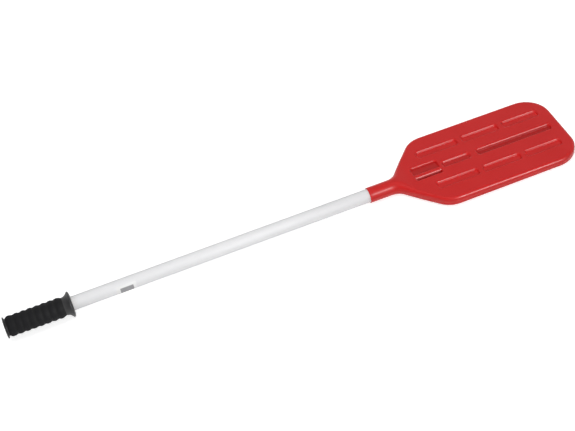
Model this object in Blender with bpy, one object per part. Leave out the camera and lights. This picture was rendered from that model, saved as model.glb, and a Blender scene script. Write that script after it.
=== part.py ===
"""Livestock sorting paddle: a hollow plastic blade on a round tube with a ribbed grip.

Frame: the origin is the centre of the bounding box, on the tube's axis. +X runs from the butt of
the grip to the tip of the blade, Z is square to the blade's flat faces and Y runs across the blade.
Units are metres.
"""

import math

import bmesh
import bpy

# Overall sizes. Stations along the stick are measured from the butt and shifted by half the length.
LENGTH = 1.066
GAP = 0.0003

# Tube.
TUBE_RADIUS = 0.0127
TUBE_WALL = 0.0020
TUBE_START = 0.0048
TUBE_END = 0.7240

# Grip: turned sleeve with ribs, a thin butt flange and a wide front flange.
GRIP_BUTT_WALL = 0.0045
GRIP_BUTT_FLANGE_RADIUS = 0.0196
GRIP_BUTT_FLANGE_THICKNESS = 0.0026
GRIP_BUTT_CHAMFER = 0.0008
GRIP_NOTCH_RUN = 0.0014
GRIP_NOTCH_RADIUS = 0.0162
GRIP_RIB_COUNT = 8
GRIP_RIB_PITCH = 0.0121
GRIP_RIB_START = 0.0062
GRIP_CREST_RADIUS = 0.0186
GRIP_VALLEY_RADIUS = 0.0173
GRIP_FLANGE_RADIUS = 0.0236
GRIP_FLANGE_STATION = 0.1172
GRIP_FLANGE_LIP = 0.0004
GRIP_FLARE_GAP = 0.0030
GRIP_FLARE_POWER = 2.2
GRIP_FLARE_SHARES = (0.0, 0.35, 0.65, 0.87, 1.0)
GRIP_MOUTH_RIM = 0.0012
GRIP_FRONT = 0.1212

# Blade and its neck.
NECK_MOUTH = 0.6790
NECK_RADIUS = 0.01435
NECK_ROUND_END = 0.7275
NECK_FLAT_END = 0.7640
SOCKET_END = 0.7264
PASSAGE_RADIUS = 0.0065
BLADE_HALF_WIDTH = 0.0905
BLADE_HALF_THICKNESS_ROOT = 0.0098
BLADE_HALF_THICKNESS_TIP = 0.0084
BLADE_EDGE_RADIUS = 0.0056
SHOULDER_ANGLE = math.radians(48.0)
SHOULDER_STATION = 0.7311
SHOULDER_INNER_RADIUS = 0.024
SHOULDER_OUTER_RADIUS = 0.046
TIP_CORNER_RADIUS = 0.049
MIN_EDGE_RADIUS = 0.0015
TIP_SECTION_SHARES = (1.0, 0.62, 0.32, 0.12)
TIP_CORNER_SHARE = 0.6
SHELL_WALL = 0.0019
CAVITY_START = 0.7420
PASSAGE_OVERLAP = 0.0040

# Stiffening grooves, pressed into both faces and meeting inside.
GROOVE_HALF_WIDTH = 0.0080
GROOVE_DRAFT = 0.0020
GROOVE_CORNER_RADIUS = 0.0042
RECESS_PROUD = 0.0040
RECESS_CORNER_TAPER = 0.6
OUTER_ROW_OFFSET = 0.0450
OUTER_ROW_SPANS = ((0.7955, 0.8779), (0.8873, 0.9620), (0.9707, 1.0433))
OUTER_ROW_DEPTH = 0.0040
MIDDLE_ROW_SPANS = ((0.8275, 0.8831), (0.8963, 1.0472))
MIDDLE_ROW_DEPTH = 0.0056

# Pocket near the neck: a flat recess, a raised ridge beside it and a narrow deeper channel.
POCKET_SPAN = (0.7690, 0.8215)
POCKET_HALF_WIDTH = 0.0186
POCKET_RIDGE_ACROSS = (-0.0090, -0.0030)
POCKET_DEPTH = 0.0044
POCKET_CHANNEL_DEPTH = 0.0080
POCKET_CHANNEL_CORNER = 0.0030
POCKET_CHANNEL_DRAFT = 0.0014
POST_REACH = 0.0200

# Rivet on the far side of the neck, along Y through the neck wall and the tube wall.
RIVET_STATION = 0.7020
RIVET_SHANK_RADIUS = 0.0020
RIVET_HEAD_RADIUS = 0.0040
RIVET_HEAD_THICKNESS = 0.0009
RIVET_HEAD_EDGE = 0.0003
RIVET_HEAD_TOP_RADIUS = 0.0024
RIVET_TAIL_LENGTH = 0.0022
RIVET_TAIL_RADIUS = 0.0028
RIVET_TAIL_END_RADIUS = 0.0020
RIVET_TAIL_GAP = 0.0008
RIVET_HOLE_SPAN = (0.006, 0.020)

# Stopper in the blade end of the tube.
STOPPER_HEAD_THICKNESS = 0.0016
STOPPER_LENGTH = 0.0180
STOPPER_LEAD_IN = 0.0030
STOPPER_LEAD_STEP = 0.0012

# Blank sticker on the tube, beside the grip.
LABEL_SPAN = (0.1995, 0.2355)
LABEL_ANGLE = math.radians(92.0)
LABEL_THICKNESS = 0.0003
LABEL_SEGMENTS = 12

# Steel shot that rattles in the lanes between the grooves.
SHOT_RADIUS = 0.003175
INNER_LANE_OFFSET = 0.0225
OUTER_LANE_OFFSET = 0.0705
LANE_STATIONS = (0.8650, 0.9600)
TIP_LANE_STATION = 1.0555
TIP_LANE_OFFSET = 0.0200

ROUND_SEGMENTS = 48
STOPPER_SEGMENTS = 32
RIVET_SEGMENTS = 20
SHOT_SEGMENTS = 12
SHOT_RINGS = 7
WELD_DISTANCE = 0.00001
GRIP_SEGMENTS = 36
SECTION_CORNER_STEPS = 6
MIN_STATION_STEP = 0.0002
ROUND_NUDGE = 0.00002
MIN_SECTION_RADIUS = 0.0008
BLEND_STEPS = 8
RECESS_CORNER_STEPS = 4
POST_CORNER_STEPS = 3
ARC_STEPS = 8
RIB_STEPS = 4


def station(distance):
    """Turn a distance from the butt into an X coordinate."""
    return distance - LENGTH / 2.0


def clear_scene():
    """Remove every object that the file opened with."""
    for obj in list(bpy.data.objects):
        bpy.data.objects.remove(obj, do_unlink=True)


def make_material(name, color, roughness, metallic=0.0):
    """Return a Principled material with the given values."""
    material = bpy.data.materials.new(name)
    material.use_nodes = True
    shader = material.node_tree.nodes["Principled BSDF"]
    shader.inputs["Base Color"].default_value = (*color, 1.0)
    shader.inputs["Roughness"].default_value = roughness
    shader.inputs["Metallic"].default_value = metallic
    material.diffuse_color = (*color, 1.0)
    return material


def add_object(name, bm, material=None, location=(0.0, 0.0, 0.0), smooth_angle=35.0):
    """Turn a bmesh into a named object with outward faces."""
    bmesh.ops.recalc_face_normals(bm, faces=bm.faces)
    mesh = bpy.data.meshes.new(name)
    bm.to_mesh(mesh)
    bm.free()
    mesh.shade_smooth()
    mesh.set_sharp_from_angle(angle=math.radians(smooth_angle))
    obj = bpy.data.objects.new(name, mesh)
    obj.location = location
    bpy.context.scene.collection.objects.link(obj)
    if material is not None:
        mesh.materials.append(material)
    return obj


def hide_cutter(obj):
    """Mark an object as a cutting tool only."""
    obj.hide_render = True
    obj.display_type = "WIRE"


def cut(target, cutter, name):
    """Subtract one object from another with a live modifier."""
    hide_cutter(cutter)
    modifier = target.modifiers.new(name, "BOOLEAN")
    modifier.operation = "DIFFERENCE"
    modifier.solver = "EXACT"
    modifier.object = cutter


def loft(bm, loops):
    """Bridge a list of equal point loops into one closed body with flat ends."""
    rings = [[bm.verts.new(point) for point in loop] for loop in loops]
    for ring_a, ring_b in zip(rings, rings[1:]):
        for index in range(len(ring_a)):
            following = (index + 1) % len(ring_a)
            bm.faces.new((ring_a[index], ring_a[following], ring_b[following], ring_b[index]))
    bm.faces.new(rings[0][::-1])
    bm.faces.new(rings[-1])


def turned_body(bm, profile, segments=ROUND_SEGMENTS):
    """Spin a closed (station, radius) profile about the X axis."""
    verts = [bm.verts.new((station(along), 0.0, radius)) for along, radius in profile]
    edges = [bm.edges.new((verts[i], verts[(i + 1) % len(verts)])) for i in range(len(verts))]
    bmesh.ops.spin(
        bm,
        geom=verts + edges,
        cent=(0.0, 0.0, 0.0),
        axis=(1.0, 0.0, 0.0),
        angle=math.tau,
        steps=segments,
        use_duplicate=False,
    )
    bmesh.ops.remove_doubles(bm, verts=bm.verts, dist=WELD_DISTANCE)


def turned_plug(bm, profile, segments=ROUND_SEGMENTS):
    """Loft circles along X through (station, radius) pairs, closed by flat ends."""
    loops = []
    for along, radius in profile:
        loop = []
        for index in range(segments):
            angle = math.tau * index / segments
            loop.append((station(along), radius * math.cos(angle), radius * math.sin(angle)))
        loops.append(loop)
    loft(bm, loops)


def upright_plug(bm, profile, segments=RIVET_SEGMENTS):
    """Loft circles along Z through (height, radius) pairs about the local origin."""
    loops = []
    for height, radius in profile:
        loop = []
        for index in range(segments):
            angle = math.tau * index / segments
            loop.append((radius * math.cos(angle), radius * math.sin(angle), height))
        loops.append(loop)
    loft(bm, loops)


def arc_points(centre, radius, start, end, steps=ARC_STEPS):
    """Return points along a circular arc, both ends included."""
    points = []
    for index in range(steps + 1):
        angle = start + (end - start) * index / steps
        points.append((centre[0] + radius * math.cos(angle), centre[1] + radius * math.sin(angle)))
    return points


def blade_outline(inset=0.0):
    """Return the +Y half of the blade's outline, from the neck to the tip, as (station, width)."""
    slope = SHOULDER_ANGLE
    half_turn = math.tan(slope / 2.0)
    inner_x = SHOULDER_STATION - SHOULDER_INNER_RADIUS * half_turn
    inner_centre = (inner_x, NECK_RADIUS + SHOULDER_INNER_RADIUS)
    rise = BLADE_HALF_WIDTH - NECK_RADIUS
    crown_x = SHOULDER_STATION + rise / math.tan(slope) + SHOULDER_OUTER_RADIUS * half_turn
    outer_centre = (crown_x, BLADE_HALF_WIDTH - SHOULDER_OUTER_RADIUS)
    tip_centre = (LENGTH - TIP_CORNER_RADIUS, BLADE_HALF_WIDTH - TIP_CORNER_RADIUS)
    quarter = math.pi / 2.0
    points = [(NECK_MOUTH, NECK_RADIUS - inset)]
    points += arc_points(inner_centre, SHOULDER_INNER_RADIUS + inset, -quarter, slope - quarter)
    points += arc_points(outer_centre, SHOULDER_OUTER_RADIUS - inset, quarter + slope, quarter)
    points += arc_points(tip_centre, TIP_CORNER_RADIUS - inset, quarter, 0.0)
    return points


def width_at(outline, along):
    """Interpolate the outline's half width at a station."""
    for (x_a, y_a), (x_b, y_b) in zip(outline, outline[1:]):
        if x_a <= along <= x_b and x_b > x_a:
            return y_a + (y_b - y_a) * (along - x_a) / (x_b - x_a)
    return outline[-1][1]


def face_height(along):
    """Half thickness of the flat blade at a station: it thins evenly toward the tip."""
    share = (along - NECK_FLAT_END) / (LENGTH - NECK_FLAT_END)
    return BLADE_HALF_THICKNESS_ROOT + share * (BLADE_HALF_THICKNESS_TIP - BLADE_HALF_THICKNESS_ROOT)


def neck_blend(along):
    """Return 0 on the round neck, 1 on the flat blade and a smooth step between."""
    share = (along - NECK_ROUND_END) / (NECK_FLAT_END - NECK_ROUND_END)
    share = min(1.0, max(0.0, share))
    return share * share * (3.0 - 2.0 * share)


def rounded_section(along, half_width, half_height, radius):
    """Return one rounded-rectangle loop square to X."""
    radius = min(radius, half_width, half_height)
    loop = []
    corners = ((1, 1, 0.0), (-1, 1, 0.25), (-1, -1, 0.5), (1, -1, 0.75))
    for side_y, side_z, turn in corners:
        centre_y = side_y * (half_width - radius)
        centre_z = side_z * (half_height - radius)
        for index in range(SECTION_CORNER_STEPS + 1):
            angle = math.tau * (turn + 0.25 * index / SECTION_CORNER_STEPS)
            loop.append((station(along), centre_y + radius * math.cos(angle),
                         centre_z + radius * math.sin(angle)))
    return loop


def nudge_round(loop, amount):
    """Keep the points of a full circle apart where its straight sides have no length."""
    return [(x, y + math.copysign(amount, y), z + math.copysign(amount, z)) for x, y, z in loop]


def blade_body(bm, inset=0.0, start=NECK_MOUTH):
    """Loft the blade, or its hollow when inset, from the neck to the tip."""
    outline = blade_outline(inset)
    end = outline[-1][0]
    edge_radius = max(BLADE_EDGE_RADIUS - inset, MIN_EDGE_RADIUS)
    stations = {start, NECK_ROUND_END, NECK_FLAT_END}
    stations.update(along for along, _ in outline)
    for index in range(1, BLEND_STEPS):
        stations.add(NECK_ROUND_END + (NECK_FLAT_END - NECK_ROUND_END) * index / BLEND_STEPS)
    stations.update(end - edge_radius * share for share in TIP_SECTION_SHARES)
    ordered = sorted(along for along in stations if start <= along < end)
    kept = [ordered[0]]
    for along in ordered[1:] + [end]:
        if along - kept[-1] > MIN_STATION_STEP:
            kept.append(along)
    loops = []
    for along in kept:
        blend = neck_blend(along)
        half_width = width_at(outline, along)
        flat = face_height(along) - inset
        half_height = (NECK_RADIUS - inset) * (1.0 - blend) + flat * blend
        radius = (NECK_RADIUS - inset) * (1.0 - blend) + edge_radius * blend
        into_tip = edge_radius - (end - along)
        if into_tip > 0.0:
            half_height -= edge_radius - math.sqrt(max(edge_radius ** 2 - into_tip ** 2, 0.0))
            radius = min(radius, max(half_height * TIP_CORNER_SHARE, MIN_SECTION_RADIUS))
        loop = rounded_section(along, half_width, half_height, radius)
        loops.append(nudge_round(loop, ROUND_NUDGE))
    loft(bm, loops)


def pressed_recess(bm, span, centre_y, half_width, depth, side,
                   corner=GROOVE_CORNER_RADIUS, draft=GROOVE_DRAFT):
    """Add a tapered rounded prism that sinks into one face (side is +1 or -1)."""
    centre_x = (span[0] + span[1]) / 2.0
    half_length = (span[1] - span[0]) / 2.0
    grow = draft * RECESS_PROUD / depth
    loops = []
    for level, inset in ((RECESS_PROUD, -grow), (0.0, 0.0), (-depth, draft)):
        radius = corner - inset * RECESS_CORNER_TAPER
        loop = []
        corners = ((1, 1, 0.0), (-1, 1, 0.25), (-1, -1, 0.5), (1, -1, 0.75))
        for side_x, side_y, turn in corners:
            mid_x = centre_x + side_x * (half_length - inset - radius)
            mid_y = centre_y + side_y * (half_width - inset - radius)
            for index in range(RECESS_CORNER_STEPS + 1):
                angle = math.tau * (turn + 0.25 * index / RECESS_CORNER_STEPS)
                along = mid_x + radius * math.cos(angle)
                height = side * (face_height(along) + level)
                loop.append((station(along), mid_y + radius * math.sin(angle), height))
        loops.append(loop)
    loft(bm, loops)


def groove_plan():
    """List every groove as (span, centre offset, depth)."""
    plan = [(span, 0.0, MIDDLE_ROW_DEPTH) for span in MIDDLE_ROW_SPANS]
    for side in (1.0, -1.0):
        plan += [(span, side * OUTER_ROW_OFFSET, OUTER_ROW_DEPTH) for span in OUTER_ROW_SPANS]
    return plan


def groove_cutters():
    """Make the grooves of both faces and the two recesses of the pocket as two cutters."""
    grooves = bmesh.new()
    pocket = bmesh.new()
    channel_edge, recess_edge = POCKET_RIDGE_ACROSS
    recess_middle = (POCKET_HALF_WIDTH + recess_edge) / 2.0
    channel_middle = (channel_edge - POCKET_HALF_WIDTH) / 2.0
    for side in (1.0, -1.0):
        for span, centre_y, depth in groove_plan():
            pressed_recess(grooves, span, centre_y, GROOVE_HALF_WIDTH, depth, side)
        pressed_recess(pocket, POCKET_SPAN, recess_middle, recess_middle - recess_edge, POCKET_DEPTH, side)
        pressed_recess(pocket, POCKET_SPAN, channel_middle, channel_edge - channel_middle,
                       POCKET_CHANNEL_DEPTH, side, POCKET_CHANNEL_CORNER, POCKET_CHANNEL_DRAFT)
    return add_object("cutter_grooves", grooves), add_object("cutter_pocket", pocket)


def kiss_off_posts():
    """Make the solid posts that the pressed grooves leave inside the hollow."""
    posts = bmesh.new()
    spans = [(span, centre_y, GROOVE_HALF_WIDTH) for span, centre_y, _ in groove_plan()]
    spans.append((POCKET_SPAN, 0.0, POCKET_HALF_WIDTH))
    for span, centre_y, half_width in spans:
        low, high = span[0] - SHELL_WALL, span[1] + SHELL_WALL
        half = half_width + SHELL_WALL
        radius = GROOVE_CORNER_RADIUS + SHELL_WALL
        loops = []
        for height in (-POST_REACH, POST_REACH):
            loop = []
            corners = ((high, 1, 0.0), (low, 1, 0.25), (low, -1, 0.5), (high, -1, 0.75))
            for end, side_y, turn in corners:
                mid_x = end - math.copysign(radius, end - (low + high) / 2.0)
                mid_y = centre_y + side_y * (half - radius)
                for index in range(POST_CORNER_STEPS + 1):
                    angle = math.tau * (turn + 0.25 * index / POST_CORNER_STEPS)
                    loop.append((station(mid_x + radius * math.cos(angle)),
                                 mid_y + radius * math.sin(angle), height))
            loops.append(loop)
        loft(posts, loops)
    return add_object("cutter_posts", posts)


def make_blade_shell(material):
    """Blow-moulded blade and neck: one hollow piece, open at the neck."""
    outer = bmesh.new()
    blade_body(outer)
    shell = add_object("blade_shell", outer, material)
    hollow = bmesh.new()
    blade_body(hollow, inset=SHELL_WALL, start=CAVITY_START)
    cavity = add_object("cutter_cavity", hollow)
    cut(cavity, kiss_off_posts(), "posts")
    socket = bmesh.new()
    socket_radius = TUBE_RADIUS + GAP
    turned_plug(socket, ((NECK_MOUTH - PASSAGE_OVERLAP, socket_radius), (SOCKET_END, socket_radius),
                         (SOCKET_END, PASSAGE_RADIUS), (CAVITY_START + PASSAGE_OVERLAP, PASSAGE_RADIUS)))
    for index, cutter in enumerate(groove_cutters()):
        cut(shell, cutter, f"pressed_{index}")
    cut(shell, cavity, "hollow")
    cut(shell, add_object("cutter_socket", socket), "socket")
    cut(shell, rivet_cutter("cutter_rivet_neck"), "rivet")
    return shell


def place_on_far_side(obj):
    """Turn a plug so that its local Z runs along +Y, square to the neck."""
    obj.location = (station(RIVET_STATION), 0.0, 0.0)
    obj.rotation_euler = (-math.pi / 2.0, 0.0, 0.0)
    return obj


def rivet_cutter(name):
    """Make the cutter for the rivet's hole through one wall of the neck."""
    bm = bmesh.new()
    hole_radius = RIVET_SHANK_RADIUS + GAP
    upright_plug(bm, ((RIVET_HOLE_SPAN[0], hole_radius), (RIVET_HOLE_SPAN[1], hole_radius)))
    return place_on_far_side(add_object(name, bm))


def make_tube(material):
    """Straight tube from the grip's butt wall into the neck's socket."""
    bore = TUBE_RADIUS - TUBE_WALL
    bm = bmesh.new()
    turned_body(bm, ((TUBE_START, bore), (TUBE_START, TUBE_RADIUS),
                     (TUBE_END, TUBE_RADIUS), (TUBE_END, bore)))
    tube = add_object("shaft_tube", bm, material)
    cut(tube, rivet_cutter("cutter_rivet_tube"), "rivet")
    return tube


def grip_profile():
    """Return the grip's profile: the outside from butt to front flange, then the blind bore."""
    middle = (GRIP_CREST_RADIUS + GRIP_VALLEY_RADIUS) / 2.0
    swing = (GRIP_CREST_RADIUS - GRIP_VALLEY_RADIUS) / 2.0
    points = [(0.0, GRIP_BUTT_FLANGE_RADIUS - GRIP_BUTT_CHAMFER)]
    points.append((GRIP_BUTT_CHAMFER, GRIP_BUTT_FLANGE_RADIUS))
    points.append((GRIP_BUTT_FLANGE_THICKNESS, GRIP_BUTT_FLANGE_RADIUS - GRIP_FLANGE_LIP))
    points.append((GRIP_BUTT_FLANGE_THICKNESS + GRIP_NOTCH_RUN, GRIP_NOTCH_RADIUS))
    for index in range(GRIP_RIB_COUNT * RIB_STEPS + 1):
        phase = math.tau * index / RIB_STEPS
        along = GRIP_RIB_START + GRIP_RIB_PITCH * index / RIB_STEPS
        points.append((along, middle - swing * math.cos(phase)))
    ribs_end = GRIP_RIB_START + GRIP_RIB_PITCH * GRIP_RIB_COUNT
    points.append((ribs_end + GRIP_NOTCH_RUN, GRIP_NOTCH_RADIUS))
    flare_start = ribs_end + GRIP_FLARE_GAP
    flare = GRIP_FLANGE_STATION - flare_start
    rise = GRIP_FLANGE_RADIUS - GRIP_NOTCH_RADIUS
    for share in GRIP_FLARE_SHARES:
        points.append((flare_start + flare * share, GRIP_NOTCH_RADIUS + rise * share ** GRIP_FLARE_POWER))
    front_run = GRIP_FRONT - GRIP_FLANGE_STATION
    points.append((GRIP_FLANGE_STATION + front_run * 0.3, GRIP_FLANGE_RADIUS - GRIP_FLANGE_LIP))
    points.append((GRIP_FLANGE_STATION + front_run * 0.7, (GRIP_FLANGE_RADIUS + TUBE_RADIUS) / 2.0))
    bore = TUBE_RADIUS + GAP
    points += [(GRIP_FRONT, bore + GRIP_MOUTH_RIM), (GRIP_FRONT, bore), (GRIP_BUTT_WALL, bore)]
    return points


def make_grip(material):
    """Closed-end ribbed sleeve over the end of the tube."""
    bm = bmesh.new()
    turned_plug(bm, grip_profile(), segments=GRIP_SEGMENTS)
    return add_object("grip_sleeve", bm, material, smooth_angle=50.0)


def make_label(material):
    """Blank sticker: a thin curved patch on the side of the tube that faces -Y."""
    inner = TUBE_RADIUS + GAP
    outer = inner + LABEL_THICKNESS
    bm = bmesh.new()
    loops = []
    for along in LABEL_SPAN:
        loop = []
        for radius, order in ((inner, 1), (outer, -1)):
            for index in range(LABEL_SEGMENTS + 1)[::order]:
                angle = math.pi * 1.5 + LABEL_ANGLE * (index / LABEL_SEGMENTS - 0.5)
                loop.append((station(along), radius * math.sin(angle), radius * math.cos(angle)))
        loops.append(loop)
    loft(bm, loops)
    return add_object("label_sticker", bm, material)


def make_stopper(material):
    """Headed plug that closes the tube's end and keeps the shot in the blade."""
    body = TUBE_RADIUS - TUBE_WALL - GAP
    head_start = TUBE_END + GAP
    bm = bmesh.new()
    inner_end = TUBE_END - STOPPER_LENGTH
    turned_plug(bm, ((inner_end, body - STOPPER_LEAD_STEP), (inner_end + STOPPER_LEAD_IN, body),
                     (head_start, body), (head_start, TUBE_RADIUS),
                     (head_start + STOPPER_HEAD_THICKNESS, TUBE_RADIUS)), segments=STOPPER_SEGMENTS)
    return add_object("neck_stopper", bm, material)


def make_rivet(material):
    """Blind rivet: domed head outside the neck, shank, and a swelled tail inside the tube."""
    seat = NECK_RADIUS + GAP
    tail_end = TUBE_RADIUS - TUBE_WALL - RIVET_TAIL_GAP
    bm = bmesh.new()
    upright_plug(bm, ((tail_end - RIVET_TAIL_LENGTH, RIVET_TAIL_END_RADIUS), (tail_end, RIVET_TAIL_RADIUS),
                      (tail_end, RIVET_SHANK_RADIUS), (seat, RIVET_SHANK_RADIUS), (seat, RIVET_HEAD_RADIUS),
                      (seat + RIVET_HEAD_EDGE, RIVET_HEAD_RADIUS),
                      (seat + RIVET_HEAD_THICKNESS, RIVET_HEAD_TOP_RADIUS)))
    return place_on_far_side(add_object("neck_rivet", bm, material))


def shot_places():
    """List the rest centre of each ball as (station, across)."""
    places = []
    for across in (INNER_LANE_OFFSET, -INNER_LANE_OFFSET, OUTER_LANE_OFFSET, -OUTER_LANE_OFFSET):
        places += [(along, across) for along in LANE_STATIONS]
    places += [(TIP_LANE_STATION, side * TIP_LANE_OFFSET) for side in (1.0, -1.0)]
    return places


def make_shot(material):
    """Place each steel ball on the hollow's floor, with the ball's centre as its origin."""
    bm = bmesh.new()
    bmesh.ops.create_uvsphere(bm, u_segments=SHOT_SEGMENTS, v_segments=SHOT_RINGS, radius=SHOT_RADIUS)
    mesh = bpy.data.meshes.new("shot_ball")
    bm.to_mesh(mesh)
    bm.free()
    mesh.shade_smooth()
    mesh.materials.append(material)
    for number, (along, across) in enumerate(shot_places(), start=1):
        floor = SHELL_WALL - face_height(along)
        ball = bpy.data.objects.new(f"shot_ball_{number:02d}", mesh)
        ball.location = (station(along), across, floor + SHOT_RADIUS + GAP)
        bpy.context.scene.collection.objects.link(ball)


def main():
    """Build every piece."""
    clear_scene()
    red = make_material("blade_red", (0.56, 0.03, 0.025), 0.35)
    white = make_material("tube_white", (0.80, 0.80, 0.81), 0.40)
    black = make_material("grip_black", (0.018, 0.018, 0.019), 0.60)
    paper = make_material("label_white", (0.86, 0.86, 0.86), 0.45)
    natural = make_material("stopper_plastic", (0.70, 0.69, 0.64), 0.55)
    alloy = make_material("rivet_aluminium", (0.72, 0.72, 0.73), 0.35, 1.0)
    steel = make_material("shot_steel", (0.62, 0.62, 0.64), 0.25, 1.0)
    make_blade_shell(red)
    make_tube(white)
    make_grip(black)
    make_label(paper)
    make_stopper(natural)
    make_rivet(alloy)
    make_shot(steel)


main()
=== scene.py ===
"""Dressed scene of a livestock sorting paddle: red hollow blade, white tube and black ribbed grip.

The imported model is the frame. +X runs from the butt of the grip to the tip of the blade, Z is
square to the blade's faces, and the origin is halfway along the stick on the tube's axis. Units are
metres. Distances called along are measured from the butt.
"""

import logging
import math
from collections.abc import Callable, Iterator
from contextlib import contextmanager
from dataclasses import dataclass, field
from enum import Enum
from functools import cached_property, reduce

import bmesh
import bpy
from mathutils import Matrix, Vector


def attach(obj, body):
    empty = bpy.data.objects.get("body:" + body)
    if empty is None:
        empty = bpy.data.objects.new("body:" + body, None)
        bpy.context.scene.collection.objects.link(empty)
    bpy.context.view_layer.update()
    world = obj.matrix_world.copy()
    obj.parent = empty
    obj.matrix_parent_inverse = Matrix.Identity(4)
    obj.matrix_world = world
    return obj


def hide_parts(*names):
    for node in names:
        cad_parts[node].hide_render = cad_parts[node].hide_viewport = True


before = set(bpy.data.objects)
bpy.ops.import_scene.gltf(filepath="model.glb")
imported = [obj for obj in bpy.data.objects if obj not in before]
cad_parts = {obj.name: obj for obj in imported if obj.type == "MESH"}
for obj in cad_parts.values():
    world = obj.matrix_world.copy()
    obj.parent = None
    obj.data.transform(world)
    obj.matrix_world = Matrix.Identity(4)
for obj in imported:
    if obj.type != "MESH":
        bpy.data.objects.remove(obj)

log = logging.getLogger("paddle")

Point = tuple[float, float, float]
Colour = tuple[float, float, float]
Pair = tuple[float, float]
Profile = list[Pair]
Piece = bpy.types.Object
Material = bpy.types.Material
NodeTree = bpy.types.NodeTree
Node = bpy.types.Node
Socket = bpy.types.NodeSocket

LENGTH = 1.066
FLAT_START = 0.7640
ROOT_HALF_THICKNESS = 0.0098
TIP_HALF_THICKNESS = 0.0084
STICK = "stick"
QUARTER = math.pi / 2.0
WHOLE = math.tau
ROUND_STEPS = 96


def station(along: float) -> float:
    """Turn a distance from the butt into an X coordinate."""
    return along - LENGTH / 2.0


def smooth_share(value: float, low: float, high: float) -> float:
    """Give a smooth step from 0 at low to 1 at high."""
    share = min(1.0, max(0.0, (value - low) / (high - low)))
    return share * share * (3.0 - 2.0 * share)


class Slot(Enum):
    """Material slots of the record."""

    BLADE = "blade_red"
    TUBE = "tube_white"
    GRIP = "grip_black"
    LABEL = "label_white"
    STOPPER = "stopper_plastic"
    RIVET = "rivet_aluminium"
    SHOT = "shot_steel"


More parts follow.
